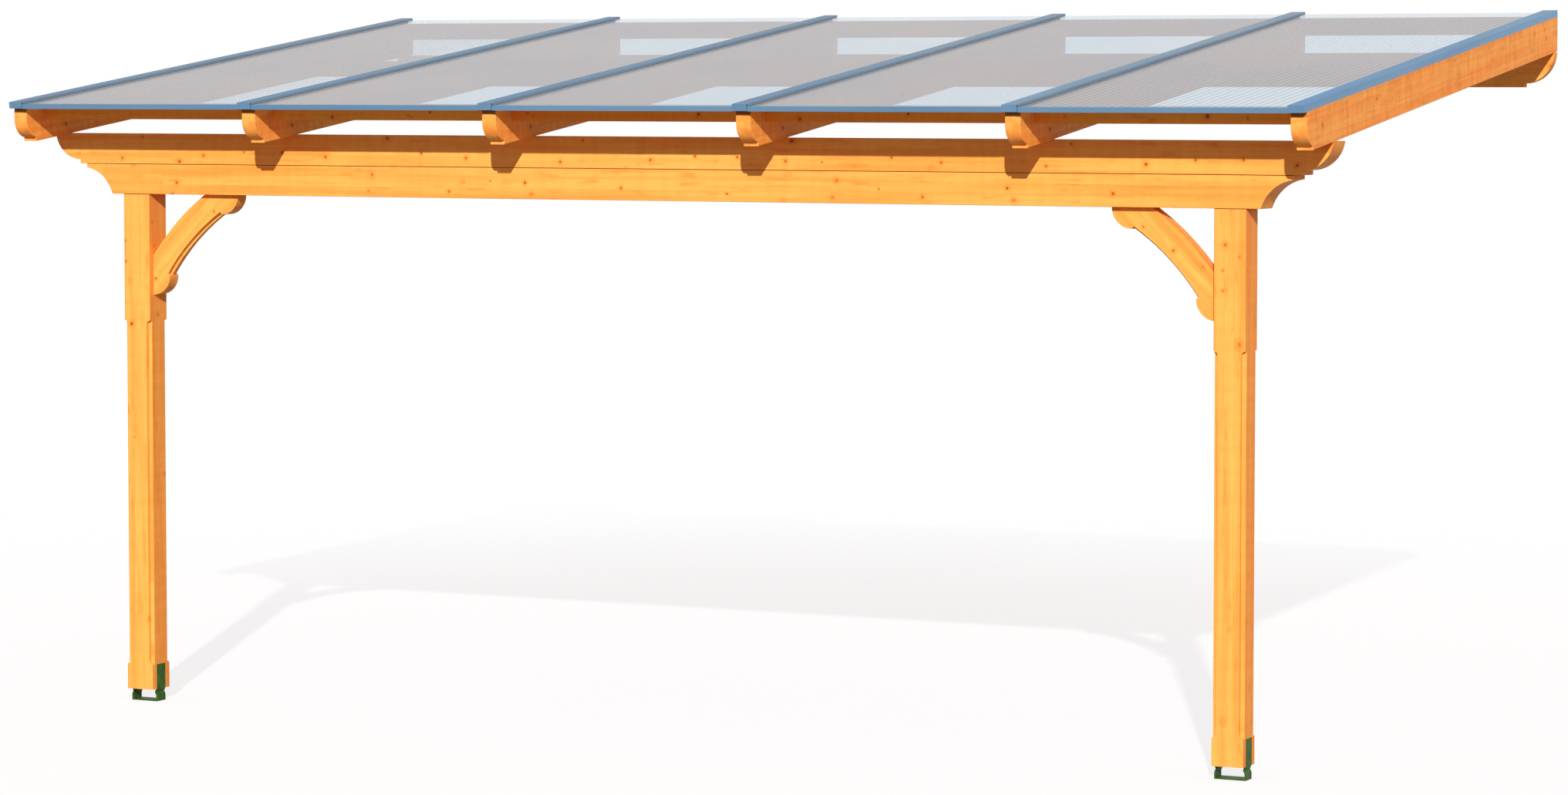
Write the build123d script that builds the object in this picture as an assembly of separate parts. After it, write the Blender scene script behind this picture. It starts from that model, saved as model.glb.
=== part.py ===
from build123d import *
import os
from math import cos, radians, sin, sqrt, tan

# Attached patio cover: two braced posts, a doubled beam and six rafters that slope up to a wall plate
# Millimetres: X to the right along the front, Y toward the wall at Y = 0, Z up from the ground
# The export moves the origin to the centre of the wall plate's back face

# Layout
bay_count = 5
bay_pitch = 1070
roof_pitch = 7
beam_front = 2680
rafter_overhang = 281
sheet_overhang = 34
post_spacing = 4640
arris_radius = 2.5

# Posts and their rebated corners
post_size = 120
post_length = 1987
post_head = 505
post_foot = 101
post_rebate = 16

# Doubled beam: ovolo ends above, cavetto ends below
beam_depth = 120
lower_beam_setback = 150
end_step = 16
ovolo_radius = 120
cavetto_radius = 150
cavetto_run = 121

# Arched braces
brace_thickness = 60
brace_leg = 402
brace_lobe = 78
brace_heel = 246
brace_outer_radius = 988
brace_lobe_step = 3
brace_rebate_width = 9
brace_rebate_depth = 20

# Rafters with a quarter-round nose
rafter_width = 60
rafter_depth = 140
nose_radius = 75
nose_run = 66
nose_step = 14
seat_length = 16

# Wall plate
plate_thickness = 40
plate_depth = 140
plate_end_radius = 125
plate_end_step = 15

# Boards between the rafters: at the eave, at mid-span and at the wall
board_thickness = 20
eave_board_depth = 60
eave_board_setback = 121
middle_board_front = 1455
middle_board_depth = 62
wall_board_depth = 70

# Twin-wall sheets
sheet_thickness = 16
sheet_gap = 20
sheet_skin = 1.2
rib_thickness = 1
rib_pitch = 32

# Aluminium cap strips over the rafters
cap_width = 60
cap_rise = 10
cap_wall = 2
cap_foot = 8
cap_channel = 8

# Aluminium profile on the front end of each sheet
eave_wall = 1.2
eave_flange = 18
eave_end_gap = 2
sheet_end_clearance = 3

# Flat steel anchors under the posts
anchor_height = 50
anchor_leg = 100
strap_width = 60
strap_thickness = 5
strap_neck = 6
neck_height_share = 0.75
knee_height_share = 0.5
anchor_hole = 11
anchor_hole_spacing = 60

# Derived levels
pitch = radians(roof_pitch)
slope = tan(pitch)
rafter_count = bay_count + 1
frame_width = bay_count * bay_pitch + rafter_width
half_width = frame_width / 2
nose_y = -beam_front - rafter_overhang
cover_front_y = nose_y - sheet_overhang
post_top = anchor_height + post_length
beam_top = post_top + 2 * beam_depth
underside_at_wall = beam_top - (seat_length - beam_front) * slope


def underside(y):
    """Height of the rafters' underside at a distance y from the wall plane."""
    return underside_at_wall + y * slope


def rafter_top(y):
    return underside(y) + rafter_depth / cos(pitch)


plate_top = underside(seat_length - plate_thickness)
plate_bottom = plate_top - plate_depth
plate_centre = (plate_top + plate_bottom) / 2

# Roof frame: its Y runs up the slope and its Z stands square to the sheets
roof_frame = Pos(0, 0, underside_at_wall) * Rot(roof_pitch, 0, 0)
sheet_top = rafter_depth + sheet_thickness
cap_top = sheet_top + cap_rise


def along_roof(y, height):
    """Place along the slope of a point above the rafters' underside that lies over plan distance y."""
    return (y + height * sin(pitch)) / cos(pitch)


cover_back = along_roof(0, rafter_depth)
cover_front = along_roof(cover_front_y, cap_top)


def rafter_x(index):
    return (index - bay_count / 2) * bay_pitch


def bay_x(index):
    return rafter_x(index) + bay_pitch / 2


def save(name, shape):
    export_step(Pos(0, 0, -plate_centre) * shape, "parts/" + name + ".step")


def closed_face(lines):
    return Face(Wire([edge for line in lines for edge in line.edges()]))


def front_profile(lines, front, thickness):
    """Extrude an outline drawn in X and Z back from the plane that stands `front` before the wall."""
    body = extrude(closed_face(lines), amount=thickness, dir=(0, 1, 0))
    return Pos(0, -front, 0) * body


def at(x, z):
    return Vector(x, 0, z)


def bow(start, end, centre, radius):
    """Arc between two points, about a centre, that passes on the side away from that centre."""
    middle = (start + end) * 0.5 - centre
    return ThreePointArc(start, centre + middle.normalized() * radius, end)


def post_solid(x):
    centre_y = -beam_front + post_size / 2
    post = Pos(x, centre_y, anchor_height + post_length / 2) * Box(post_size, post_size, post_length)
    arrises = post.edges().filter_by(Axis.Z) + post.faces().sort_by(Axis.Z)[-1].edges()
    post = fillet(arrises, arris_radius)
    rebate_length = post_length - post_head - post_foot
    rebate_z = anchor_height + post_foot + rebate_length / 2
    cutter = SlotOverall(rebate_length, 2 * post_rebate, rotation=90)
    for side_x in (-1, 1):
        for side_y in (-1, 1):
            corner_x = x + side_x * post_size / 2
            corner_y = centre_y + side_y * (post_size - post_rebate) / 2
            place = Pos(corner_x, corner_y, rebate_z) * Rot(90, 0, 0)
            post -= place * extrude(cutter, amount=post_rebate / 2, both=True)
        recess_x = x + side_x * (post_size - strap_thickness) / 2
        recess_z = anchor_height + anchor_leg / 2
        post -= Pos(recess_x, centre_y, recess_z) * Box(strap_thickness, strap_width, anchor_leg)
    return post


def anchor_solid(x):
    """Flat steel bent to a U, pinched in between the post's foot and the bar on the ground."""
    centre_y = -beam_front + post_size / 2
    outer = post_size / 2
    neck_z = anchor_height * neck_height_share
    knee_z = anchor_height * knee_height_share
    right_leg = [
        at(outer, anchor_height + anchor_leg),
        at(outer, anchor_height),
        at(outer - strap_neck, neck_z),
        at(outer, knee_z),
        at(outer, 0),
    ]
    left_leg = [at(-point.X, point.Z) for point in reversed(right_leg)]
    outside = right_leg + left_leg
    inside = [
        at(-outer + strap_thickness, anchor_height + anchor_leg),
        at(-outer + strap_thickness, anchor_height),
        at(-outer + strap_thickness + strap_neck, neck_z),
        at(-outer + strap_thickness, knee_z),
        at(-outer + strap_thickness, strap_thickness),
    ]
    inside += [at(-point.X, point.Z) for point in reversed(inside)]
    outline = Polyline(*outside, *inside, close=True)
    strap = Pos(x, centre_y - strap_width / 2, 0) * front_profile([outline], 0, strap_width)
    for sign in (-1, 1):
        hole = Cylinder(anchor_hole / 2, 3 * strap_thickness)
        strap -= Pos(x + sign * anchor_hole_spacing / 2, centre_y, strap_thickness / 2) * hole
    return strap


def other_leg(point):
    """The same point of the brace's other leg, across the bisector of the corner."""
    return at(-point.Z, -point.X)


def brace_solid(hand):
    """Arched brace in the corner between a post and the lower beam; hand is -1 on the left."""
    arch_centre_offset = (brace_heel + sqrt(2 * brace_outer_radius**2 - brace_heel**2)) / 2
    lobe_centre = brace_leg - brace_lobe
    centre = at(arch_centre_offset, -arch_centre_offset)
    lobe_end = at(lobe_centre, -brace_lobe)
    toward_lobe = lobe_end - centre
    lobe_radius = toward_lobe.length
    arch_radius = lobe_radius + brace_lobe_step
    arch_start = centre + toward_lobe.normalized() * arch_radius
    upper_lobe = bow(at(brace_leg, 0), lobe_end, at(lobe_centre, 0), brace_lobe)
    lower_lobe = bow(other_leg(lobe_end), at(0, -brace_leg), at(0, -lobe_centre), brace_lobe)
    edges = [
        Line(at(brace_heel, 0), at(brace_leg, 0)),
        upper_lobe,
        Line(lobe_end, arch_start),
        bow(arch_start, other_leg(arch_start), centre, arch_radius),
        Line(other_leg(arch_start), other_leg(lobe_end)),
        lower_lobe,
        Line(at(0, -brace_leg), at(0, -brace_heel)),
        bow(at(0, -brace_heel), at(brace_heel, 0), centre, brace_outer_radius),
    ]
    body = front_profile(edges, 0, brace_thickness)
    rebate_radius = arch_radius + brace_rebate_width
    rebate_start = centre + toward_lobe.normalized() * rebate_radius
    rebate_edges = [
        Line(lobe_end, rebate_start),
        bow(rebate_start, other_leg(rebate_start), centre, rebate_radius),
        Line(other_leg(rebate_start), other_leg(lobe_end)),
        Line(other_leg(lobe_end), lobe_end),
    ]
    rebate = front_profile(rebate_edges, 0, brace_rebate_depth)
    body -= rebate
    body -= Pos(0, brace_thickness - brace_rebate_depth, 0) * rebate
    if hand > 0:
        body = mirror(body, Plane.YZ)
    corner_x = hand * (post_spacing - post_size) / 2
    front_y = -beam_front + (post_size - brace_thickness) / 2
    return Pos(corner_x, front_y, post_top) * body


def mirrored_beam(right_end, front, thickness):
    """Beam whose right end has these edges, listed from its top to its bottom, and the left end too."""
    right = Wire(right_end)
    left = right.mirror(Plane.YZ)
    top = right_end[0] @ 0
    bottom = right_end[-1] @ 1
    top_edge = Line(at(-top.X, top.Z), top)
    bottom_edge = Line(at(-bottom.X, bottom.Z), bottom)
    edges = [top_edge, *right.edges(), bottom_edge, *left.edges()]
    beam = front_profile(edges, front, thickness)
    return fillet(beam.edges().filter_by(Axis.X), arris_radius)


def ovolo_end(half_length, bottom, depth, radius, step):
    """Quarter round that starts at the beam's top and ends in a small step above its underside."""
    rise = step + radius - depth
    centre = at(half_length - sqrt(radius**2 - rise**2), bottom + step + radius)
    start = at(half_length, bottom + depth)
    end = at(centre.X, bottom + step)
    return [bow(start, end, centre, radius), Line(end, at(end.X, bottom))]


def upper_beam():
    ends = ovolo_end(half_width, post_top + beam_depth, beam_depth, ovolo_radius, end_step)
    return mirrored_beam(ends, beam_front, post_size)


def lower_beam():
    half_length = half_width - lower_beam_setback
    start = at(half_length, post_top + beam_depth - end_step)
    end = at(half_length - cavetto_run, post_top)
    chord = end - start
    reach = sqrt(cavetto_radius**2 - (chord.length / 2) ** 2)
    across = Vector(chord.Z, 0, -chord.X).normalized()
    if across.X < 0:
        across = across * -1
    centre = (start + end) * 0.5 + across * reach
    ends = [
        Line(at(half_length, post_top + beam_depth), start),
        bow(start, end, centre, cavetto_radius),
    ]
    return mirrored_beam(ends, beam_front, post_size)


def wall_plate():
    ends = ovolo_end(half_width, plate_bottom, plate_depth, plate_end_radius, plate_end_step)
    return mirrored_beam(ends, plate_thickness, plate_thickness)


def side_profile(lines, x, width):
    """Extrude an outline drawn in Y and Z over a width centred on x."""
    body = extrude(closed_face(lines), amount=width, dir=(1, 0, 0))
    return Pos(x - width / 2, 0, 0) * body


def beside(y, z):
    return Vector(0, y, z)


def seat_cut(x, front, top):
    """Air for the timber that carries a rafter, from its front face back to the end of the seat."""
    air = Box(2 * rafter_width, seat_length, seat_length)
    return Pos(x, front + seat_length / 2, top - seat_length / 2) * air


def rafter_solid(x):
    step_y = nose_y + nose_run
    round_end = beside(step_y, underside(step_y) + nose_step)
    drop = sqrt(nose_radius**2 - (nose_radius - nose_run) ** 2)
    centre = beside(nose_y + nose_radius, round_end.Z + drop)
    round_start = beside(nose_y, centre.Z)
    path = [
        round_end,
        beside(step_y, underside(step_y)),
        beside(0, underside(0)),
        beside(0, rafter_top(0)),
        beside(nose_y, rafter_top(nose_y)),
        round_start,
    ]
    edges = [Polyline(*path), bow(round_start, round_end, centre, nose_radius)]
    rafter = side_profile(edges, x, rafter_width)
    front = rafter.faces().sort_by(Axis.Y)[0]
    nose_round = rafter.faces().filter_by(GeomType.CYLINDER)[0]
    sloping = rafter.faces().filter_by(Plane.XY.rotated((roof_pitch, 0, 0)))
    arrises = front.edges() + nose_round.edges() + sloping.sort_by(Axis.Z)[0].edges()
    rafter = fillet(arrises.filter_by(Axis.X, reverse=True), arris_radius)
    rafter -= seat_cut(x, -beam_front, beam_top)
    rafter -= seat_cut(x, -plate_thickness, plate_top)
    return rafter


def bay_board(x, front, depth):
    """Upright board between two rafters, its top planed to the slope of the sheets."""
    back = front + board_thickness
    bottom = rafter_top(front) - depth
    outline = Polyline(
        beside(front, bottom),
        beside(back, bottom),
        beside(back, rafter_top(back)),
        beside(front, rafter_top(front)),
        close=True,
    )
    return side_profile([outline], x, bay_pitch - rafter_width)


def sheet_solid(x):
    """Twin-wall sheet with open flutes that run up the slope."""
    width = bay_pitch - sheet_gap
    front = cover_front + eave_wall + sheet_end_clearance
    length = cover_back - front
    rib_count = int(width // rib_pitch)
    flute_width = rib_pitch - rib_thickness
    flute_height = sheet_thickness - 2 * sheet_skin
    middle_z = rafter_depth + sheet_thickness / 2
    section = Rectangle(width, sheet_thickness)
    section -= GridLocations(rib_pitch, 1, rib_count, 1) * Rectangle(flute_width, flute_height)
    upright = Plane(origin=(0, 0, 0), x_dir=(1, 0, 0), z_dir=(0, -1, 0))
    body = upright * extrude(section, amount=length)
    return roof_frame * Pos(x, cover_back, middle_z) * body


def cap_solid(x, outer_side):
    """Cap strip that holds down two sheets; the outer ones reach down to the rafter's top."""
    half = cap_width / 2
    walls = {}
    for sign in (-1, 1):
        foot = rafter_depth if sign == outer_side else sheet_top
        walls[sign] = Pos(sign * (half - cap_wall / 2), (foot + cap_top) / 2) * Rectangle(
            cap_wall, cap_top - foot
        )
    section = Pos(0, cap_top - cap_wall / 2) * Rectangle(cap_width, cap_wall)
    section += walls[-1]
    section += walls[1]
    for sign in (-1, 1):
        if sign != outer_side:
            foot_x = sign * (half - cap_foot / 2)
            section += Pos(foot_x, sheet_top + cap_wall / 2) * Rectangle(cap_foot, cap_wall)
        web_x = sign * (cap_channel + cap_wall) / 2
        web_middle = (rafter_depth + cap_top) / 2
        section += Pos(web_x, web_middle) * Rectangle(cap_wall, cap_top - rafter_depth)
    upright = Plane(origin=(0, 0, 0), x_dir=(1, 0, 0), z_dir=(0, -1, 0))
    body = Pos(0, cover_back, 0) * (upright * extrude(section, amount=cover_back - cover_front))
    end_height = cap_top - rafter_depth
    end_plate = Box(cap_width, eave_wall, end_height)
    body += Pos(0, cover_front + eave_wall / 2, rafter_depth + end_height / 2) * end_plate
    return roof_frame * Pos(x, 0, 0) * body


def eave_profile_solid(x):
    """Channel on the front end of a sheet; it stops short of the cap strip on its left."""
    length = bay_pitch - cap_width - eave_end_gap
    height = sheet_thickness + 2 * eave_wall
    middle_z = rafter_depth + sheet_thickness / 2
    body = Box(length, eave_flange, height)
    inner_depth = eave_flange - eave_wall
    body -= Pos(0, eave_wall / 2, 0) * Box(length, inner_depth, sheet_thickness)
    middle_x = x + eave_end_gap / 2
    return roof_frame * Pos(middle_x, cover_front + eave_flange / 2, middle_z) * body


os.makedirs("parts", exist_ok=True)

for name, sign in (("left", -1), ("right", 1)):
    post_x = sign * post_spacing / 2
    save("post_" + name, post_solid(post_x))
    save("anchor_" + name, anchor_solid(post_x))
    save("brace_" + name, brace_solid(sign))

save("lower_beam", lower_beam())
save("upper_beam", upper_beam())
save("wall_plate", wall_plate())

for index in range(rafter_count):
    number = str(index + 1)
    outer = {0: -1, bay_count: 1}.get(index, 0)
    save("rafter_" + number, rafter_solid(rafter_x(index)))
    save("cap_strip_" + number, cap_solid(rafter_x(index), outer))

for index in range(bay_count):
    number = str(index + 1)
    x = bay_x(index)
    eave_front = nose_y + eave_board_setback
    save("eave_board_" + number, bay_board(x, eave_front, eave_board_depth))
    save("middle_board_" + number, bay_board(x, -middle_board_front, middle_board_depth))
    save("wall_board_" + number, bay_board(x, -board_thickness, wall_board_depth))
    save("roof_sheet_" + number, sheet_solid(x))
    save("eave_profile_" + number, eave_profile_solid(x))
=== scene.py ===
from math import cos, pi, radians, sin, tan

import bmesh
import bpy
from mathutils import Matrix, Vector


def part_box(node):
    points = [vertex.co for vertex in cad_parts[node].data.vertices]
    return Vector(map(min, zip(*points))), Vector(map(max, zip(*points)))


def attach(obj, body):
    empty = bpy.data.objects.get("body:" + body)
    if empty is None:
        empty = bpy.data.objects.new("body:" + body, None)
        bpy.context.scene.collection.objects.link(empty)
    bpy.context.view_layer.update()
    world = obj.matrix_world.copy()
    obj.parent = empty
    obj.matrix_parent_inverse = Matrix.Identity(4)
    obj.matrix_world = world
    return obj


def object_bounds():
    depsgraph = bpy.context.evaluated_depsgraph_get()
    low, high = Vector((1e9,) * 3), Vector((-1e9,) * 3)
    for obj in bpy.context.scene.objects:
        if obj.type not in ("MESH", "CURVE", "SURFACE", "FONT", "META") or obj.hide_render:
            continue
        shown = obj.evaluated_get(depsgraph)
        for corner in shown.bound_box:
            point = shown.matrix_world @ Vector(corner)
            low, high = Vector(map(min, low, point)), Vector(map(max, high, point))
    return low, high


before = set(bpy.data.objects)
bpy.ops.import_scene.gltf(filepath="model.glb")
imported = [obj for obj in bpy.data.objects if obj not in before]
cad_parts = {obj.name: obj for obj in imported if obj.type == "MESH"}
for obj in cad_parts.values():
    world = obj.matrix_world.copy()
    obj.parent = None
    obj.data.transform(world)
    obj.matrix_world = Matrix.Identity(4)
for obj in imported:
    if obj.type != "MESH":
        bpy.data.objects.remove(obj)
cad_low, cad_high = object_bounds()

# Layout, repeated from the part's source in metres
BAY_COUNT = 5
BAY_PITCH = 1.070
ROOF_PITCH = radians(7)
RAFTER_WIDTH = 0.060
RAFTER_DEPTH = 0.140
SHEET_THICKNESS = 0.016
SHEET_SKIN = 0.0012
RIB_PITCH = 0.032
CAP_WIDTH = 0.060
CAP_RISE = 0.010
PROFILE_WALL = 0.0012
PROFILE_GAP = 0.0020

X_AXIS = Vector((1, 0, 0))
Y_AXIS = Vector((0, 1, 0))
Z_AXIS = Vector((0, 0, 1))

ground = cad_low.z

# The roof's own directions start where the rafters' underside meets the back plane
roof_origin = Vector((0, 0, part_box("rafter_1")[1].z - RAFTER_DEPTH / cos(ROOF_PITCH)))
up_slope = Vector((0, cos(ROOF_PITCH), sin(ROOF_PITCH)))
off_roof = Vector((0, -sin(ROOF_PITCH), cos(ROOF_PITCH)))
to_roof = Matrix.Translation(roof_origin) @ Matrix.Rotation(ROOF_PITCH, 4, "X")

# Heights above the rafters' underside, then the ends of the cover along the slope
sheet_top = RAFTER_DEPTH + SHEET_THICKNESS
cap_top = sheet_top + CAP_RISE
cover_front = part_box("cap_strip_1")[0].y / cos(ROOF_PITCH) + cap_top * tan(ROOF_PITCH)
cover_back = RAFTER_DEPTH * tan(ROOF_PITCH)


def rafter_x(index):
    return (index - BAY_COUNT / 2) * BAY_PITCH


def middle(node):
    low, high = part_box(node)
    return (low + high) / 2


# Camera, fitted to the photograph's perspective
camera_data = bpy.data.cameras.new("camera")
camera_data.lens = 103.239
camera_data.shift_x = -0.00246
camera_data.shift_y = -0.04
camera = bpy.data.objects.new("camera", camera_data)
camera.location = (7.9517, -17.6112, -0.0379)
camera.rotation_euler = (radians(90 - 3.2522), 0, radians(26.2812))
bpy.context.scene.collection.objects.link(camera)
bpy.context.scene.camera = camera


# Node trees
def add(tree, kind, inputs=None, **settings):
    """Add a shader node; inputs gives a value or another node's output for a socket's name or number."""
    node = tree.nodes.new("ShaderNode" + kind)
    for name, value in settings.items():
        setattr(node, name, value)
    for key, value in (inputs or {}).items():
        if isinstance(value, bpy.types.NodeSocket):
            tree.links.new(value, node.inputs[key])
        else:
            node.inputs[key].default_value = value
    return node


def calc(tree, operation, *values):
    return add(tree, "Math", dict(enumerate(values)), operation=operation).outputs[0]


def vector_calc(tree, operation, *values):
    node = add(tree, "VectorMath", dict(enumerate(values)), operation=operation)
    return node.outputs["Value" if operation in ("DOT_PRODUCT", "LENGTH") else "Vector"]


def combine(tree, x, y, z):
    return add(tree, "CombineXYZ", {0: x, 1: y, 2: z}).outputs[0]


def split(tree, vector):
    return add(tree, "SeparateXYZ", {0: vector}).outputs[:3]


def split_colour(tree, shade):
    return add(tree, "SeparateColor", {0: shade}).outputs[:3]


def object_position(tree):
    return add(tree, "TexCoord").outputs["Object"]


def face_normal(tree):
    return add(tree, "NewGeometry").outputs["Normal"]


def length_of(tree, vector, stretch=(1, 1, 1)):
    return vector_calc(tree, "LENGTH", vector_calc(tree, "MULTIPLY", vector, stretch))


def ramp(tree, value, low, high, first=0.0, last=1.0):
    """Smooth step of a value from low to high."""
    inputs = {0: value, 1: low, 2: high, 3: first, 4: last}
    return add(tree, "MapRange", inputs, interpolation_type="SMOOTHSTEP").outputs[0]


def blend(tree, factor, first, second):
    return add(tree, "Mix", {0: factor, 2: first, 3: second}, data_type="FLOAT").outputs[0]


def tint(tree, factor, first, second, mode="MIX"):
    inputs = {0: factor, 6: first, 7: second}
    return add(tree, "Mix", inputs, data_type="RGBA", blend_type=mode).outputs[2]


def multiply(tree, first, second):
    return tint(tree, 1.0, first, second, "MULTIPLY")


def colour(red, green, blue):
    return (red, green, blue, 1)


def noise(tree, vector, stretch, offset=(0, 0, 0), detail=2.0, output="Fac"):
    """Noise over a vector that is stretched, then moved."""
    place = vector_calc(tree, "MULTIPLY_ADD", vector, stretch, offset)
    inputs = {"Vector": place, "Scale": 1.0, "Detail": detail, "Roughness": 0.55}
    return add(tree, "TexNoise", inputs).outputs[output]


def mix_shaders(tree, factor, first, second):
    return add(tree, "MixShader", {0: factor, 1: first.outputs[0], 2: second.outputs[0]})


def local_vector(tree, centre, along, depth, stack):
    """Position from a centre, in metres, measured along three directions."""
    offset = vector_calc(tree, "SUBTRACT", object_position(tree), tuple(centre))
    parts = [vector_calc(tree, "DOT_PRODUCT", offset, tuple(axis)) for axis in (along, depth, stack)]
    return combine(tree, *parts)


def new_material(name):
    material = bpy.data.materials.new(name)
    material.use_nodes = True
    tree = material.node_tree
    tree.nodes.clear()
    return material, tree, add(tree, "OutputMaterial")


def principled(tree, output, bump_inputs=None, **inputs):
    """Principled surface; an underscore in a name stands for a space."""
    named = {key.replace("_", " "): value for key, value in inputs.items()}
    if bump_inputs:
        named["Normal"] = add(tree, "Bump", bump_inputs).outputs[0]
    node = add(tree, "BsdfPrincipled", named)
    tree.links.new(node.outputs[0], output.inputs["Surface"])


def dress(node, material):
    """Give a carried-over CAD node its material."""
    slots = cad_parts[node].data.materials
    slots.clear()
    slots.append(material)


# Timber: growth rings round a pith that lies off each lamella, with finger joints, knots and resin streaks
LAMELLA = 0.040
BOARD_LENGTH = 6.5
RING_PITCH = 0.0052
RING_WANDER = 0.045
PITH_ACROSS = (0.11, -0.055)
PITH_BELOW = (0.05, -0.075)
BOARD_STAGGER = 7.0
KNOT_SCALE = (5.2, 17.0, 17.0)
KNOT_LEAST = 0.0016
KNOT_SPREAD = 0.0062
KNOT_SWELL = 0.011
STREAK_SCALE = (2.6, 34.0, 34.0)
STREAK_STRETCH = (13.0, 330.0, 330.0)
STREAK_SEED = 3.7
NO_SPOT = 9.0
SPOT_REACH = 6.0
JOINT_LINE = (0.0003, 0.0012)
LATE_SHARE = 0.58
FLAME_SHARE = 0.55
RESIN_SHARE = 0.75
HALO_SHARE = 0.55
CORE_SHARE = 0.9
JOINT_SHARE = 0.30
PALE_WOOD = colour(0.975, 0.445, 0.090)
WARM_WOOD = colour(0.935, 0.315, 0.050)
LATE_WOOD = colour(0.830, 0.245, 0.036)
RESIN_WOOD = colour(0.840, 0.235, 0.030)
# Colour of painted shade: under the cap strips, and with dust along the seams
PAINTED_SHADE_WOOD = colour(0.120, 0.036, 0.010)
KNOT_RED = colour(0.640, 0.155, 0.020)
KNOT_DARK = colour(0.190, 0.045, 0.010)


def scatter(tree, vector, scale, seed):
    """Offset in metres from the nearest point of a scattered, stretched pattern, and its random numbers."""
    moved = vector_calc(tree, "MULTIPLY_ADD", vector, scale, combine(tree, seed, seed, seed))
    cells = add(tree, "TexVoronoi", {"Vector": moved, "Scale": 1.0}, feature="F1")
    offset = vector_calc(tree, "SUBTRACT", moved, cells.outputs["Position"])
    metres = vector_calc(tree, "DIVIDE", offset, scale)
    return metres, split_colour(tree, cells.outputs["Color"])


def edge_distance(tree, value, size):
    """Distance in metres from the nearest whole number of a value that counts steps of a size."""
    off_middle = calc(tree, "ABSOLUTE", calc(tree, "SUBTRACT", calc(tree, "FRACT", value), 0.5))
    return calc(tree, "MULTIPLY", calc(tree, "SUBTRACT", 0.5, off_middle), size)


def random_of(tree, x, y, z):
    return add(tree, "TexWhiteNoise", {"Vector": combine(tree, x, y, z)}, noise_dimensions="3D")


def knots(tree, vector, seed, spot, spot_tone):
    """Distance from the nearest knot, in knot radii, and that knot's darkness."""
    offset, picks = scatter(tree, vector, KNOT_SCALE, seed)
    distance = length_of(tree, offset, (0.7, 1.0, 1.0))
    radius = calc(tree, "MULTIPLY_ADD", calc(tree, "POWER", picks[0], 1.8), KNOT_SPREAD, KNOT_LEAST)
    knot = calc(tree, "MINIMUM", calc(tree, "DIVIDE", distance, radius), spot)
    ragged = noise(tree, vector, (70.0, 150.0, 150.0))
    knot = calc(tree, "MULTIPLY", knot, calc(tree, "MULTIPLY_ADD", ragged, 1.1, 0.45))
    placed = calc(tree, "LESS_THAN", spot, SPOT_REACH)
    return knot, blend(tree, placed, ramp(tree, picks[1], 0.55, 0.95), spot_tone)


def growth_rings(tree, vector, seed, layer, board, lamella, picks, knot):
    """Strength of the dark late wood, from rings that wander and swell round the knots."""
    _, depth, stack = split(tree, vector)
    bends = noise(tree, vector, (0.8, 5.5, 5.5), combine(tree, seed, board, layer), output="Color")
    wander = split_colour(tree, bends)
    within = calc(tree, "SUBTRACT", stack, calc(tree, "MULTIPLY", layer, lamella))
    off_pith_depth = calc(tree, "SUBTRACT", depth, calc(tree, "MULTIPLY_ADD", picks[0], *PITH_ACROSS))
    off_pith_stack = calc(tree, "SUBTRACT", within, calc(tree, "MULTIPLY_ADD", picks[1], *PITH_BELOW))
    ring_depth = calc(tree, "MULTIPLY_ADD", wander[0], RING_WANDER, off_pith_depth)
    ring_stack = calc(tree, "MULTIPLY_ADD", wander[1], RING_WANDER, off_pith_stack)
    distance = vector_calc(tree, "LENGTH", combine(tree, ring_depth, ring_stack, 0.0))
    distance = calc(tree, "MULTIPLY_ADD", ramp(tree, knot, 0.0, 5.0, 1.0, 0.0), KNOT_SWELL, distance)
    ring = calc(tree, "FRACT", calc(tree, "DIVIDE", distance, RING_PITCH))
    late = calc(tree, "POWER", ring, 2.6)
    years = noise(tree, combine(tree, distance, layer, seed), (60.0, 1.0, 1.0), detail=1.0)
    return calc(tree, "MULTIPLY", late, ramp(tree, years, 0.35, 0.7, 0.25, 1.0))


def resin_streaks(tree, vector, seed):
    offset, picks = scatter(tree, vector, STREAK_SCALE, calc(tree, "ADD", seed, STREAK_SEED))
    streak = length_of(tree, offset, STREAK_STRETCH)
    return calc(tree, "MULTIPLY", ramp(tree, streak, 0.25, 1.0, 1.0, 0.0), ramp(tree, picks[0], 0.3, 0.8))


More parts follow.
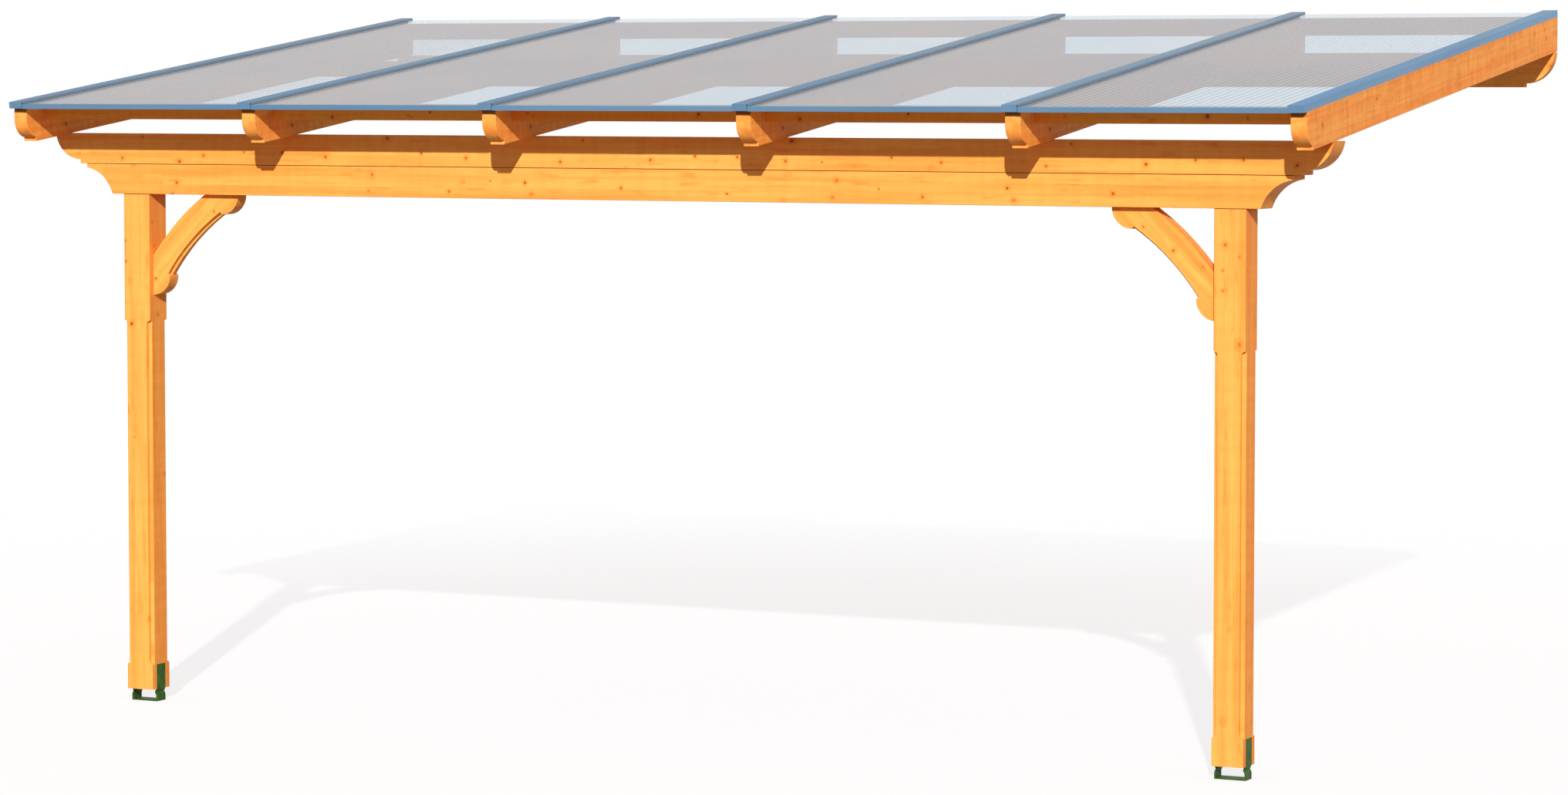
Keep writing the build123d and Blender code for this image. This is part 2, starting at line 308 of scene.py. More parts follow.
def make_timber_group():
    """Colour, roughness and height of varnished timber for a vector along, across and up its lamellas."""
    tree = bpy.data.node_groups.new("timber", "ShaderNodeTree")
    for name in ("Vector", "Seed", "Lamella", "Spot", "Spot tone", "Figure"):
        kind = "NodeSocketVector" if name == "Vector" else "NodeSocketFloat"
        tree.interface.new_socket(name, in_out="INPUT", socket_type=kind)
    for name, kind in (("Color", "Color"), ("Roughness", "Float"), ("Height", "Float")):
        tree.interface.new_socket(name, in_out="OUTPUT", socket_type="NodeSocket" + kind)
    source = tree.nodes.new("NodeGroupInput")
    result = tree.nodes.new("NodeGroupOutput")
    vector, seed, lamella, spot, spot_tone, figure = source.outputs[:6]
    along, _, stack = split(tree, vector)

    # Lamellas across the stack and finger-jointed boards along it
    level = calc(tree, "ADD", calc(tree, "DIVIDE", stack, lamella), 0.5)
    layer = calc(tree, "FLOOR", level)
    stagger = calc(tree, "MULTIPLY", random_of(tree, layer, seed, 0.0).outputs[0], BOARD_STAGGER)
    boards = calc(tree, "ADD", calc(tree, "DIVIDE", along, BOARD_LENGTH), stagger)
    board = calc(tree, "FLOOR", boards)
    picks = split_colour(tree, random_of(tree, board, layer, seed).outputs["Color"])

    # Grain
    knot, darkness = knots(tree, vector, seed, spot, spot_tone)
    core = ramp(tree, knot, 0.40, 1.30, 1.0, 0.0)
    halo = ramp(tree, knot, 0.9, 3.4, 1.0, 0.0)
    late = growth_rings(tree, vector, seed, layer, board, lamella, picks, knot)
    broad = noise(tree, vector, (0.9, 26.0, 26.0), combine(tree, layer, seed, board), 3.0)
    flames = noise(tree, vector, (7.0, 38.0, 38.0), combine(tree, seed, layer, board), 3.0)
    fibre = noise(tree, vector, (9.0, 420.0, 420.0))
    ripple = noise(tree, vector, (34.0, 7.0, 9.0), detail=3.0)
    resin = resin_streaks(tree, vector, seed)

    # Colour
    base_tone = calc(tree, "MULTIPLY_ADD", picks[2], 0.16, 0.13)
    tone = calc(tree, "ADD", base_tone, calc(tree, "MULTIPLY_ADD", broad, 2.6, -1.10))
    shade = tint(tree, ramp(tree, tone, 0.0, 1.0), PALE_WOOD, WARM_WOOD)
    shade = tint(tree, calc(tree, "MULTIPLY", late, LATE_SHARE), shade, LATE_WOOD)
    shade = tint(tree, ramp(tree, flames, 0.56, 0.74, 0.0, FLAME_SHARE), shade, RESIN_WOOD)
    shade = tint(tree, calc(tree, "MULTIPLY", resin, RESIN_SHARE), shade, RESIN_WOOD)
    shade = tint(tree, calc(tree, "MULTIPLY", halo, HALO_SHARE), shade, RESIN_WOOD)
    knot_shade = tint(tree, darkness, KNOT_RED, KNOT_DARK)
    shade = tint(tree, calc(tree, "MULTIPLY", core, CORE_SHARE), shade, knot_shade)
    glue = edge_distance(tree, level, lamella)
    ends = edge_distance(tree, boards, BOARD_LENGTH)
    joint = ramp(tree, calc(tree, "MINIMUM", glue, ends), *JOINT_LINE, JOINT_SHARE, 0.0)
    shade = tint(tree, joint, shade, LATE_WOOD)
    curl = calc(tree, "MULTIPLY", calc(tree, "SUBTRACT", ripple, 0.5), figure)
    grey = calc(tree, "ADD", calc(tree, "MULTIPLY_ADD", fibre, 0.16, 0.92), curl)
    shade = multiply(tree, shade, add(tree, "CombineColor", {0: grey, 1: grey, 2: grey}).outputs[0])

    # Surface
    height = calc(tree, "SUBTRACT", calc(tree, "MULTIPLY", fibre, 0.6), calc(tree, "MULTIPLY", late, 0.35))
    height = calc(tree, "SUBTRACT", height, calc(tree, "MULTIPLY", core, 0.5))
    roughness = calc(tree, "MULTIPLY_ADD", fibre, 0.14, 0.50)
    for index, socket in enumerate((shade, roughness, height)):
        tree.links.new(socket, result.inputs[index])
    return tree


timber_group = make_timber_group()

# Depths under the rafters' top of the painted shade below the cap strips
UNDER_CAP_SHADE_BAND = (0.014, 0.020)
# Width of the painted shade and dust along a seam
SHADED_SEAM_BAND = (0.0012, 0.0026)


def nearest_spot(tree, spots):
    """Distance from the nearest of some placed knots, in knot radii, and its darkness."""
    position = object_position(tree)
    nearest, tone = NO_SPOT, 0.5
    for x, y, z, radius, darkness in spots:
        offset = vector_calc(tree, "SUBTRACT", position, (x, y, z))
        distance = calc(tree, "DIVIDE", vector_calc(tree, "LENGTH", offset), radius)
        tone = blend(tree, calc(tree, "LESS_THAN", distance, nearest), tone, darkness)
        nearest = calc(tree, "MINIMUM", distance, nearest)
    return nearest, tone


def paint_shade_under_cap(tree, shade):
    """Painted shade: dark band on a rafter's front face, just under the cap strip, where the cap's overhang
    shades it.
    """
    offset = vector_calc(tree, "SUBTRACT", object_position(tree), tuple(roof_origin))
    above = vector_calc(tree, "DOT_PRODUCT", offset, tuple(off_roof))
    near_top = ramp(tree, above, RAFTER_DEPTH - UNDER_CAP_SHADE_BAND[1], RAFTER_DEPTH - UNDER_CAP_SHADE_BAND[0])
    forward = split(tree, face_normal(tree))[1]
    painted_shade = calc(tree, "MULTIPLY", near_top, ramp(tree, forward, -0.8, -0.5, 0.75, 0.0))
    return tint(tree, painted_shade, shade, PAINTED_SHADE_WOOD)


def shade_and_dust_seam_on_top(tree, shade, seam):
    """Painted shade and dust: dark line along the top edge of a timber whose top lies at a height, in the
    joint with the timber above.
    """
    height = split(tree, object_position(tree))[2]
    return tint(tree, ramp(tree, height, seam - SHADED_SEAM_BAND[1], seam - SHADED_SEAM_BAND[0]), shade, PAINTED_SHADE_WOOD)


def timber(name, grain, spots=(), seam=None, figure=0.22, stain=None, shaded_under_cap=False):
    """Varnished spruce.

    The grain holds a centre, three directions, a seed and the lamellas' thickness. The spots are placed
    knots, and the seam is the height of a joint on top, darkened with painted shade and dust.
    """
    material, tree, output = new_material(name)
    centre, along, depth, stack, seed, lamella = grain
    nearest, tone = nearest_spot(tree, spots) if spots else (NO_SPOT, 0.0)
    vector = local_vector(tree, centre, along, depth, stack)
    values = (vector, seed, lamella, nearest, tone, figure)
    group = add(tree, "Group", node_tree=timber_group)
    for socket, value in zip(group.inputs, values):
        if isinstance(value, bpy.types.NodeSocket):
            tree.links.new(value, socket)
        else:
            socket.default_value = value
    shade = group.outputs["Color"]
    if stain:
        shade = multiply(tree, shade, colour(*stain))
    # Painted shade on the rafters' fronts under the cap strips
    if shaded_under_cap:
        shade = paint_shade_under_cap(tree, shade)
    # Painted shade and dust along the joint on top
    if seam is not None:
        shade = shade_and_dust_seam_on_top(tree, shade, seam)
    principled(
        tree,
        output,
        {"Strength": 0.35, "Distance": 0.0004, "Height": group.outputs["Height"]},
        Base_Color=shade,
        Roughness=group.outputs["Roughness"],
        Specular_IOR_Level=0.14,
    )
    return material


# Knots where the photograph shows them: x, y and z in metres, radius and darkness
BEAM_FRONT = -2.680
BRACE_FRONT = -2.650
BOARD_FRONT = -2.840
POST_INSIDE = -2.260
UPPER_KNOTS = (
    (-2.385, BEAM_FRONT, -0.351, 0.006, 0.4),
    (-2.288, BEAM_FRONT, -0.267, 0.004, 0.9),
    (-1.999, BEAM_FRONT, -0.339, 0.006, 0.6),
    (-1.810, BEAM_FRONT, -0.324, 0.004, 0.9),
    (-1.631, BEAM_FRONT, -0.324, 0.006, 1.0),
    (-1.432, BEAM_FRONT, -0.340, 0.006, 0.6),
    (-0.998, BEAM_FRONT, -0.323, 0.005, 0.9),
    (-0.799, BEAM_FRONT, -0.339, 0.006, 0.5),
    (-0.385, BEAM_FRONT, -0.351, 0.006, 0.5),
    (-0.287, BEAM_FRONT, -0.269, 0.004, 0.9),
    (0.002, BEAM_FRONT, -0.340, 0.006, 0.5),
    (0.191, BEAM_FRONT, -0.325, 0.005, 0.9),
    (0.369, BEAM_FRONT, -0.327, 0.005, 0.9),
    (0.569, BEAM_FRONT, -0.340, 0.006, 0.5),
    (0.718, BEAM_FRONT, -0.343, 0.003, 1.0),
    (1.001, BEAM_FRONT, -0.324, 0.005, 0.9),
    (1.201, BEAM_FRONT, -0.340, 0.006, 0.5),
    (1.615, BEAM_FRONT, -0.350, 0.006, 0.5),
    (1.713, BEAM_FRONT, -0.269, 0.004, 0.9),
    (2.001, BEAM_FRONT, -0.340, 0.007, 0.8),
    (2.190, BEAM_FRONT, -0.324, 0.005, 0.9),
    (2.370, BEAM_FRONT, -0.322, 0.005, 0.9),
    (2.570, BEAM_FRONT, -0.339, 0.007, 0.8),
)
LOWER_KNOTS = (
    (-2.126, BEAM_FRONT, -0.447, 0.007, 0.4),
    (-1.220, BEAM_FRONT, -0.407, 0.006, 0.4),
    (-1.238, BEAM_FRONT, -0.472, 0.004, 0.1),
    (-0.875, BEAM_FRONT, -0.469, 0.006, 0.4),
    (-0.539, BEAM_FRONT, -0.432, 0.006, 1.0),
    (-0.511, BEAM_FRONT, -0.475, 0.007, 0.0),
    (-0.124, BEAM_FRONT, -0.447, 0.006, 0.4),
    (0.778, BEAM_FRONT, -0.410, 0.0075, 0.1),
    (0.762, BEAM_FRONT, -0.472, 0.0065, 0.0),
    (0.950, BEAM_FRONT, -0.439, 0.0032, 1.0),
    (1.126, BEAM_FRONT, -0.467, 0.006, 0.4),
    (1.463, BEAM_FRONT, -0.431, 0.006, 1.0),
    (1.489, BEAM_FRONT, -0.474, 0.007, 0.0),
    (1.875, BEAM_FRONT, -0.447, 0.007, 0.7),
)
LEFT_POST_KNOTS = (
    (-2.347, BEAM_FRONT, -1.013, 0.008, 1.0),
    (-2.373, BEAM_FRONT, -0.764, 0.005, 0.4),
    (-2.376, BEAM_FRONT, -0.681, 0.005, 0.4),
    (POST_INSIDE, -2.658, -0.606, 0.005, 0.3),
    (POST_INSIDE, -2.644, -0.702, 0.005, 0.3),
    (POST_INSIDE, -2.623, -0.977, 0.006, 0.4),
)
RIGHT_POST_KNOTS = (
    (2.303, BEAM_FRONT, -0.622, 0.007, 0.2),
    (2.294, BEAM_FRONT, -0.714, 0.004, 0.1),
    (2.294, BEAM_FRONT, -0.785, 0.005, 0.4),
)
LEFT_BRACE_KNOTS = (
    (-2.250, BRACE_FRONT, -0.832, 0.005, 0.9),
    (-1.971, BRACE_FRONT, -0.561, 0.004, 0.3),
)
RIGHT_BRACE_KNOTS = (
    (2.095, BRACE_FRONT, -0.647, 0.006, 0.4),
    (1.979, BRACE_FRONT, -0.564, 0.004, 0.3),
)
EAVE_BOARD_KNOTS = (
    (-1.299, BOARD_FRONT, -0.183, 0.006, 0.8),
    (-0.960, BOARD_FRONT, -0.176, 0.004, 0.2),
    (-0.862, BOARD_FRONT, -0.163, 0.004, 0.9),
    (-0.435, BOARD_FRONT, -0.165, 0.004, 0.3),
    (0.289, BOARD_FRONT, -0.168, 0.007, 0.9),
    (0.706, BOARD_FRONT, -0.183, 0.007, 0.6),
    (1.142, BOARD_FRONT, -0.162, 0.005, 0.9),
    (1.754, BOARD_FRONT, -0.169, 0.004, 0.3),
    (2.294, BOARD_FRONT, -0.167, 0.008, 0.9),
    (2.444, BOARD_FRONT, -0.172, 0.004, 0.3),
)

# Knot on the right face of every rafter but the last: y, z, radius and darkness
RAFTER_KNOT = (-2.695, -0.217, 0.007, 0.9)

# Seeds of the grain, with the step from one timber to the next
POST_SEED, POST_SEED_STEP = 11.3, 7
BRACE_SEED, BRACE_SEED_STEP = 31.1, 5
BEAM_SEED, BEAM_SEED_STEP = 3.9, 4
RAFTER_SEED, RAFTER_SEED_STEP = 50.5, 3
BOARD_SEEDS = {"eave_board_": 81.7, "middle_board_": 70.3, "wall_board_": 99.2}
BOARD_SEED_STEP = 2

SOLID_TIMBER = 1.0
RAFTER_LAMELLA = 0.07
RAFTER_FIGURE = 0.55
RAFTER_STAIN = (1.0, 0.94, 0.95)
BOARD_STAIN = (1.0, 0.78, 0.45)


def dress_posts_and_braces():
    hands = (
        ("left", X_AXIS, LEFT_POST_KNOTS, LEFT_BRACE_KNOTS),
        ("right", -X_AXIS, RIGHT_POST_KNOTS, RIGHT_BRACE_KNOTS),
    )
    post_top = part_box("post_left")[1].z
    for index, (hand, inward, post_knots, brace_knots) in enumerate(hands):
        post = "post_" + hand
        seed = POST_SEED + POST_SEED_STEP * index
        grain = (middle(post), Z_AXIS, Y_AXIS, X_AXIS, seed, LAMELLA)
        dress(post, timber(post, grain, post_knots, seam=post_top))
        brace = "brace_" + hand
        lean = (inward + Z_AXIS).normalized()
        across = (inward - Z_AXIS).normalized()
        seed = BRACE_SEED + BRACE_SEED_STEP * index
        grain = (middle(brace), lean, Y_AXIS, across, seed, SOLID_TIMBER)
        dress(brace, timber(brace, grain, brace_knots))


def dress_beams():
    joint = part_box("lower_beam")[1].z
    beams = (("lower_beam", LOWER_KNOTS, joint), ("upper_beam", UPPER_KNOTS, None), ("wall_plate", (), None))
    for index, (beam, beam_knots, seam) in enumerate(beams):
        grain = (middle(beam), X_AXIS, Y_AXIS, Z_AXIS, BEAM_SEED + BEAM_SEED_STEP * index, LAMELLA)
        dress(beam, timber(beam, grain, beam_knots, seam))


def dress_rafters():
    for index in range(BAY_COUNT + 1):
        rafter = "rafter_%d" % (index + 1)
        centre = Vector((rafter_x(index), 0, 0)) + roof_origin + off_roof * RAFTER_DEPTH / 2
        seed = RAFTER_SEED + RAFTER_SEED_STEP * index
        grain = (centre, up_slope, X_AXIS, off_roof, seed, RAFTER_LAMELLA)
        spots = [(centre.x + RAFTER_WIDTH / 2, *RAFTER_KNOT)] if index < BAY_COUNT else []
        material = timber(rafter, grain, spots, figure=RAFTER_FIGURE, stain=RAFTER_STAIN, shaded_under_cap=True)
        dress(rafter, material)


def dress_boards():
    for index in range(BAY_COUNT):
        for kind, first_seed in BOARD_SEEDS.items():
            board = kind + str(index + 1)
            centre = middle(board)
            seed = first_seed + BOARD_SEED_STEP * index
            grain = (centre, X_AXIS, Y_AXIS, Z_AXIS, seed, SOLID_TIMBER)
            spots = EAVE_BOARD_KNOTS if kind == "eave_board_" else ()
            near = [spot for spot in spots if abs(spot[0] - centre.x) < BAY_PITCH / 2]
            dress(board, timber(board, grain, near, stain=BOARD_STAIN))


dress_posts_and_braces()
dress_beams()
dress_rafters()
dress_boards()


# Bluish aluminium, drawn lengthwise
METAL_BASE = colour(0.095, 0.205, 0.335)
METAL_PALE = colour(0.125, 0.245, 0.375)
FRONT_DRIFT = colour(0.78, 0.98, 1.10)
BACK_DRIFT = colour(1.25, 1.06, 0.98)
DRIFT_REACH = (-2.9, -0.5)
FACING = (0.5, 0.9)


def aluminium(name, along, depth, stack, seed, top=(1, 1, 1), side=(1, 1, 1)):
    """Drawn aluminium; top and side multiply the colour of the faces that look up and sideways, as painted
    light, and the tops' colour also changes from front to back.
    """
    material, tree, output = new_material(name)
    vector = local_vector(tree, (0, 0, 0), along, depth, stack)
    moved = vector_calc(tree, "ADD", vector, (seed, seed, seed))
    lines = noise(tree, moved, (1.5, 900.0, 900.0))
    clouds = noise(tree, moved, (0.9, 9.0, 9.0))
    shade = tint(tree, ramp(tree, clouds, 0.3, 0.75), METAL_BASE, METAL_PALE)
    sideways, _, upward = split(tree, vector_calc(tree, "ABSOLUTE", face_normal(tree)))
    drift = tint(tree, ramp(tree, split(tree, vector)[0], *DRIFT_REACH), FRONT_DRIFT, BACK_DRIFT)
    painted_top_light = multiply(tree, multiply(tree, shade, colour(*top)), drift)
    # Painted light: faces that look up and sideways get their own tints
    shade = tint(tree, ramp(tree, upward, *FACING), shade, painted_top_light)
    shade = tint(tree, ramp(tree, sideways, *FACING), shade, multiply(tree, shade, colour(*side)))
    principled(
        tree,
        output,
        {"Strength": 0.2, "Distance": 0.0002, "Height": lines},
        Base_Color=shade,
        Metallic=0.15,
        Roughness=calc(tree, "MULTIPLY_ADD", lines, 0.12, 0.42),
        Specular_IOR_Level=0.3,
    )
    return material


# Painted light with each cap's own tone on the cap strips' tops from left to right, then painted light on
# their sides
CAP_TOP_TONE_AND_PAINTED_LIGHT = (
    (0.72, 0.70, 0.68),
    (0.62, 0.74, 0.74),
    (0.60, 0.69, 0.72),
    (0.78, 0.79, 0.76),
    (1.00, 0.90, 0.82),
    (0.58, 0.86, 0.97),
)
INNER_CAP_SIDE_PAINTED_LIGHT = (1.55, 1.18, 1.02)
RIGHT_CAP_SIDE_PAINTED_LIGHT = (1.35, 1.40, 1.43)
CAP_SEED_STEP = 1.7
PROFILE_SEED, PROFILE_SEED_STEP = 20, 1.3

for index, top in enumerate(CAP_TOP_TONE_AND_PAINTED_LIGHT):
    node = "cap_strip_%d" % (index + 1)
    side = RIGHT_CAP_SIDE_PAINTED_LIGHT if index == BAY_COUNT else INNER_CAP_SIDE_PAINTED_LIGHT
    dress(node, aluminium(node, up_slope, X_AXIS, off_roof, CAP_SEED_STEP * index, top, side))
for index in range(BAY_COUNT):
    node = "eave_profile_%d" % (index + 1)
    seed = PROFILE_SEED + PROFILE_SEED_STEP * index
    dress(node, aluminium(node, X_AXIS, up_slope, off_roof, seed))


# Twin-wall sheet: gloss and dust on the outer skins, faint haze in the skins and darker ribs
OUTER_CLEAR = colour(0.78, 0.91, 0.975)
INNER_CLEAR = colour(0.985, 0.99, 0.995)
SKIN_FILM = colour(0.66, 0.72, 0.78)
RIB_FILM = colour(0.20, 0.20, 0.20)
RIB_PAINTED_SHADE = colour(0.10, 0.10, 0.10)
COOL_DUST = colour(0.545, 0.565, 0.590)
WARM_DUST = colour(0.61, 0.595, 0.585)
GLOSS = colour(0.95, 0.97, 1.0)
GLOSS_SHARE = 0.50
SHADE_SHARE = 0.58
SHEET_INDEX = 1.45
OPEN_END_REACH = (-0.30, -0.12)
OPEN_END_SHARE = 0.2
RIB_LINE_HALF = (0.035, 0.075)
RIB_LINE_REACH = (-2.7, -1.3)
RIB_LINE_SHARE = 0.38


def twin_wall(name, bay_x, rib_haze, rib_shade_strength, veil_share):
    """Sheet whose ribs show most in front and least behind, where light enters the open flutes; the dark
    lines over the ribs are painted shade.
    """
    material, tree, output = new_material(name)
    centre = roof_origin + off_roof * (RAFTER_DEPTH + SHEET_THICKNESS / 2)
    place = local_vector(tree, centre, up_slope, X_AXIS, off_roof)
    along, across, height = split(tree, place)

    # Outer faces of the two skins, and the ribs between them
    height = calc(tree, "ABSOLUTE", height)
    outer = calc(tree, "GREATER_THAN", height, SHEET_THICKNESS / 2 - SHEET_SKIN / 2)
    rib = calc(tree, "LESS_THAN", height, SHEET_THICKNESS / 2 - 1.5 * SHEET_SKIN)
    backfacing = add(tree, "NewGeometry").outputs["Backfacing"]
    outside = calc(tree, "MAXIMUM", calc(tree, "SUBTRACT", outer, backfacing), 0.0)

    # Body
    flow = noise(tree, place, (1.2, 38.0, 1.0))
    rib_tone = ramp(tree, along, *OPEN_END_REACH, rib_haze, OPEN_END_SHARE * rib_haze)
    haze = blend(tree, rib, calc(tree, "MULTIPLY_ADD", flow, 0.04, 0.03), rib_tone)
    glass = add(tree, "BsdfTransparent", {"Color": tint(tree, outer, INNER_CLEAR, OUTER_CLEAR)})
    film = tint(tree, rib, SKIN_FILM, RIB_FILM)
    body = add(tree, "BsdfPrincipled", {"Base Color": film, "Roughness": 0.35, "Specular IOR Level": 0.3})
    surface = mix_shaders(tree, haze, glass, body)

    # Dust and gloss, stronger where the sheet is seen at a slant
    slant = calc(tree, "MULTIPLY", add(tree, "Fresnel", {"IOR": SHEET_INDEX}).outputs[0], outside)
    clouds = noise(tree, place, (1.1, 1.6, 1.0), detail=3.0)
    dust_shade = tint(tree, ramp(tree, clouds, 0.35, 0.65), COOL_DUST, WARM_DUST)
    dust = add(tree, "BsdfDiffuse", {"Color": dust_shade})
    surface = mix_shaders(tree, calc(tree, "MULTIPLY", slant, veil_share), surface, dust)
    gloss = add(tree, "BsdfAnisotropic", {"Color": GLOSS, "Roughness": 0.12})
    surface = mix_shaders(tree, calc(tree, "MULTIPLY", slant, GLOSS_SHARE), surface, gloss)

    # Painted shade: dark lines over the ribs, for the ribs and their shadows seen through the skin
    off_bay = calc(tree, "SUBTRACT", across, bay_x)
    steps = calc(tree, "ADD", calc(tree, "DIVIDE", off_bay, RIB_PITCH), 0.5)
    off_rib = calc(tree, "ABSOLUTE", calc(tree, "SUBTRACT", calc(tree, "FRACT", steps), 0.5))
    line = calc(tree, "MULTIPLY", ramp(tree, off_rib, *RIB_LINE_HALF, rib_shade_strength, 0.0), outside)
    line = calc(tree, "MULTIPLY", line, ramp(tree, along, *RIB_LINE_REACH, 1.0, RIB_LINE_SHARE))
    surface = mix_shaders(tree, line, surface, add(tree, "BsdfDiffuse", {"Color": RIB_PAINTED_SHADE}))

    # Part of the sunlight is held back
    shadow = calc(tree, "MULTIPLY", add(tree, "LightPath").outputs["Is Shadow Ray"], SHADE_SHARE)
    surface = mix_shaders(tree, shadow, surface, body)
    tree.links.new(surface.outputs[0], output.inputs["Surface"])
    return material


# Haze of the ribs, strength of their lines of painted shade and share of dust, from the leftmost sheet
SHEET_LOOKS = (
    (0.04, 0.0, 0.76),
    (0.05, 0.0, 0.76),
    (0.06, 0.04, 0.76),
    (0.06, 0.16, 0.74),
    (0.05, 0.48, 0.74),
)
for index, look in enumerate(SHEET_LOOKS):
    sheet = "roof_sheet_%d" % (index + 1)
    dress(sheet, twin_wall(sheet, rafter_x(index + 0.5), *look))


# Green steel with a mottled coat
DARK_GREEN = colour(0.020, 0.075, 0.008)
LIGHT_GREEN = colour(0.062, 0.140, 0.020)


def green_steel(name):
    material, tree, output = new_material(name)
    vector = local_vector(tree, (0, 0, ground), Z_AXIS, Y_AXIS, X_AXIS)
    clouds = noise(tree, vector, (28.0, 60.0, 60.0), detail=3.0)
    fine = noise(tree, vector, (900.0, 900.0, 900.0))
    principled(
        tree,
        output,
        {"Strength": 0.3, "Distance": 0.0004, "Height": fine},
        Base_Color=tint(tree, ramp(tree, clouds, 0.32, 0.68), DARK_GREEN, LIGHT_GREEN),
        Roughness=calc(tree, "MULTIPLY_ADD", clouds, 0.25, 0.35),
        Specular_IOR_Level=0.08,
    )
    return material


steel = green_steel("anchor_steel")
for hand in ("left", "right"):
    dress("anchor_" + hand, steel)


# Rubber seals
RUBBER_DARK = colour(0.012, 0.013, 0.015)
RUBBER_PALE = colour(0.040, 0.042, 0.046)


def rubber(name):
    material, tree, output = new_material(name)
    fine = noise(tree, object_position(tree), (700.0, 700.0, 700.0))
    principled(
        tree,
        output,
        Base_Color=tint(tree, fine, RUBBER_DARK, RUBBER_PALE),
        Roughness=calc(tree, "MULTIPLY_ADD", fine, 0.2, 0.55),
        Specular_IOR_Level=0.3,
    )
    return material


rubber_material = rubber("seal_rubber")


def add_bar(bm, start, end):
    """Closed bar between two outlines, lists of places in the roof's own directions."""
    rings = [[bm.verts.new(to_roof @ Vector(place)) for place in outline] for outline in (start, end)]
    count = len(start)
    for index in range(count):
        after = (index + 1) % count
        bm.faces.new((rings[0][index], rings[0][after], rings[1][after], rings[1][index]))
    bm.faces.new(rings[0])
    bm.faces.new(reversed(rings[1]))


def finish_mesh(name, bm):
    """Flat-shaded mesh with its faces turned outward."""
    bmesh.ops.recalc_face_normals(bm, faces=bm.faces)
    mesh = bpy.data.meshes.new(name)
    bm.to_mesh(mesh)
    bm.free()
    for polygon in mesh.polygons:
        polygon.use_smooth = False
    return mesh


def add_seal(name, bm):
    mesh = finish_mesh(name, bm)
    mesh.materials.append(rubber_material)
    seal = bpy.data.objects.new(name, mesh)
    bpy.context.scene.collection.objects.link(seal)
    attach(seal, "root")


ARC_STEPS = 5
LIP_SIZE = 0.0012
LIP_FRONT_INSET = 0.002
LIP_BACK_INSET = 0.004


def lip_outline(foot_x, side, y):
    """Rounded bead of rubber beside the foot of a cap strip."""
    points = [(foot_x, y, sheet_top)]
    for step in range(ARC_STEPS + 1):
        angle = pi / 2 * (1 - step / ARC_STEPS)
        points.append((foot_x + side * LIP_SIZE * cos(angle), y, sheet_top + LIP_SIZE * sin(angle)))
    return points


for index in range(BAY_COUNT + 1):
    bm = bmesh.new()
    for side in (-1, 1):
        if index == (0 if side < 0 else BAY_COUNT):
            continue
        foot_x = rafter_x(index) + side * CAP_WIDTH / 2
        start = lip_outline(foot_x, side, cover_front + LIP_FRONT_INSET)
        end = lip_outline(foot_x, side, cover_back - LIP_BACK_INSET)
        add_bar(bm, start, end)
    add_seal("cap_seal_%d" % (index + 1), bm)


# Strip of dark seal in the gap between each cap's front end and the eave profile on its right, which also
# stands in for the shade in the gap
SEAL_INSET = 0.00005
SEAL_DEPTH = 0.0040
SEAL_ROUND = 0.0008
SEAL_BELOW_CAP = 0.0015
profile_bottom = RAFTER_DEPTH - PROFILE_WALL


def end_seal_and_shade_outline(foot_x, height):
    """Outline along the slope, with its two front corners rounded."""
    left = foot_x + SEAL_INSET
    right = foot_x + PROFILE_GAP - SEAL_INSET
    back = cover_front + SEAL_DEPTH
    points = [(left, back, height)]
    for corner_x, turn in ((left + SEAL_ROUND, pi), (right - SEAL_ROUND, 1.5 * pi)):
        for step in range(ARC_STEPS + 1):
            angle = turn + pi / 2 * step / ARC_STEPS
            y = cover_front + SEAL_ROUND * (1 + sin(angle))
            points.append((corner_x + SEAL_ROUND * cos(angle), y, height))
    points.append((right, back, height))
    return points


for index in range(BAY_COUNT):
    bm = bmesh.new()
    foot_x = rafter_x(index) + CAP_WIDTH / 2
    start = end_seal_and_shade_outline(foot_x, profile_bottom)
    end = end_seal_and_shade_outline(foot_x, cap_top - SEAL_BELOW_CAP)
    add_bar(bm, start, end)
    add_seal("cap_end_seal_and_shade_%d" % (index + 1), bm)


# Sun, sky and floor
SUN_DIRECTION = Vector((0.445, -1.0, 0.53))
SUN_ENERGY = 4.0
SUN_ANGLE = radians(0.9)
SKY_LIGHT = colour(1.0, 0.80, 0.76)
SKY_STRENGTH = 0.54
WHITE = colour(1, 1, 1)
FLOOR_RADIUS = 40.0
FLOOR_Y = -1.5
FLOOR_SEEN = colour(0.95, 0.95, 0.95)
FLOOR_FADE = (3.0, 9.0)
FLOOR_GLOW = (0.80, 1.0)
FLOOR_LIGHT = colour(0.22, 0.18, 0.16)


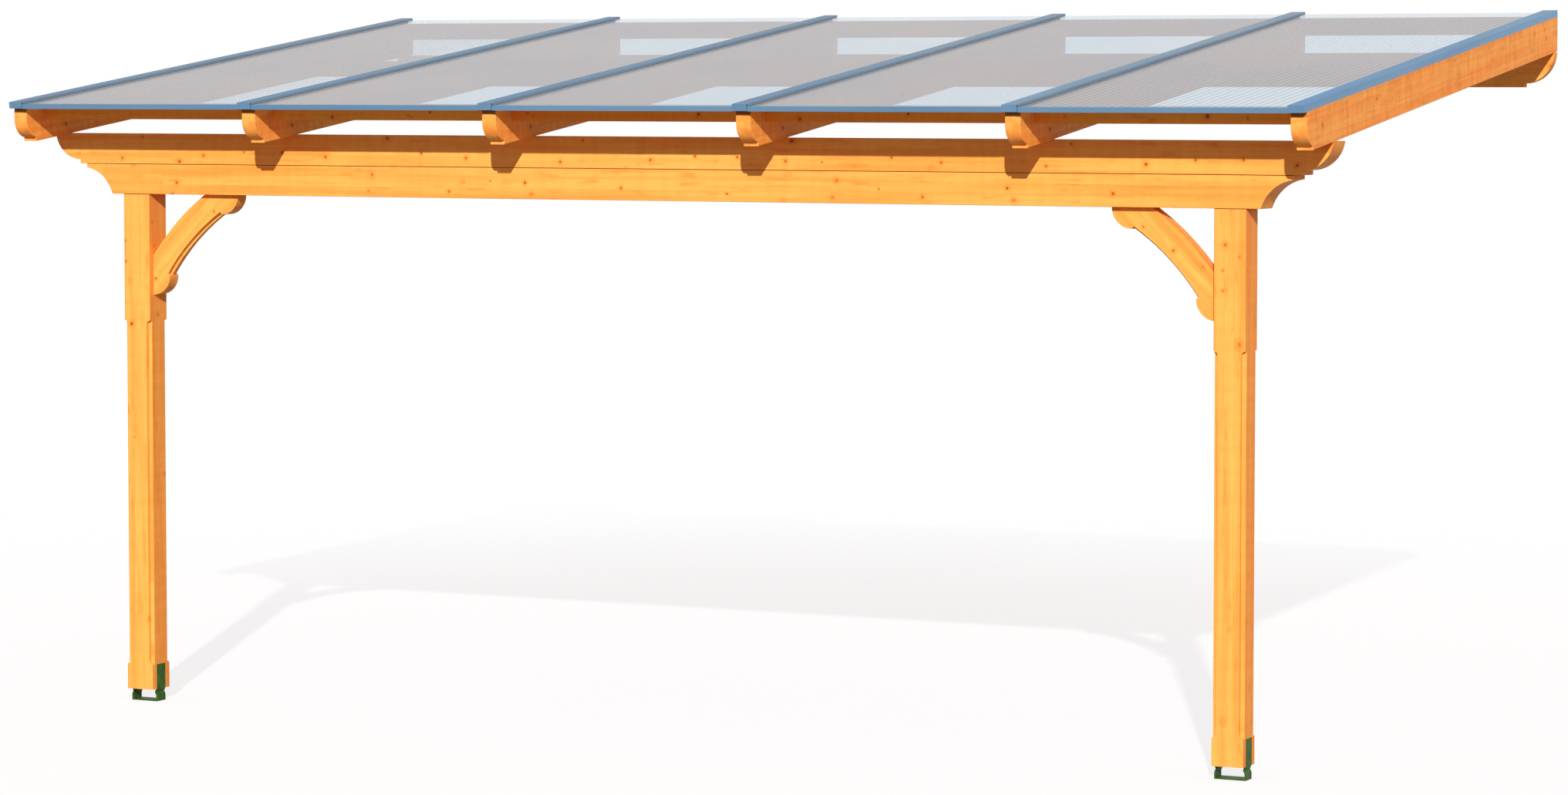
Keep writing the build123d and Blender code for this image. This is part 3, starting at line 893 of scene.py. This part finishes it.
def seen_directly(tree):
    """One for rays from the camera, mirrors and glass, zero for the light that lights the object."""
    rays = add(tree, "LightPath").outputs
    seen = calc(tree, "MAXIMUM", rays["Is Camera Ray"], rays["Is Glossy Ray"])
    return calc(tree, "MAXIMUM", seen, rays["Is Transmission Ray"])


def make_sun():
    sun_data = bpy.data.lights.new("sun", "SUN")
    sun_data.energy = SUN_ENERGY
    sun_data.angle = SUN_ANGLE
    sun = bpy.data.objects.new("sun", sun_data)
    sun.rotation_euler = SUN_DIRECTION.to_track_quat("Z", "Y").to_euler()
    bpy.context.scene.collection.objects.link(sun)


def make_world():
    """White sky that lights the object with a softer, warmer light than it shows."""
    world = bpy.data.worlds.new("world")
    bpy.context.scene.world = world
    world.use_nodes = True
    tree = world.node_tree
    tree.nodes.clear()
    dim = add(tree, "Background", {"Color": SKY_LIGHT, "Strength": SKY_STRENGTH})
    white = add(tree, "Background", {"Color": WHITE, "Strength": 1.0})
    sky = mix_shaders(tree, seen_directly(tree), dim, white)
    tree.links.new(sky.outputs[0], add(tree, "OutputWorld").inputs[0])


def floor_material():
    """Pale floor that the camera sees as white with a soft, faint shadow."""
    material, tree, output = new_material("floor")
    away = ramp(tree, length_of(tree, object_position(tree)), *FLOOR_FADE, *FLOOR_GLOW)
    bright = add(tree, "BsdfDiffuse", {"Color": FLOOR_SEEN})
    glow = add(tree, "Emission", {"Color": WHITE, "Strength": 1.0})
    dull = add(tree, "BsdfDiffuse", {"Color": FLOOR_LIGHT})
    shown = mix_shaders(tree, away, bright, glow)
    final = mix_shaders(tree, seen_directly(tree), dull, shown)
    tree.links.new(final.outputs[0], output.inputs["Surface"])
    return material


def make_floor():
    bm = bmesh.new()
    bmesh.ops.create_circle(bm, cap_ends=True, segments=96, radius=FLOOR_RADIUS)
    mesh = finish_mesh("floor", bm)
    mesh.materials.append(floor_material())
    floor = bpy.data.objects.new("floor", mesh)
    floor.location = (0, FLOOR_Y, ground)
    bpy.context.scene.collection.objects.link(floor)


make_sun()
make_world()
make_floor()
bpy.context.scene.view_settings.view_transform = "Standard"
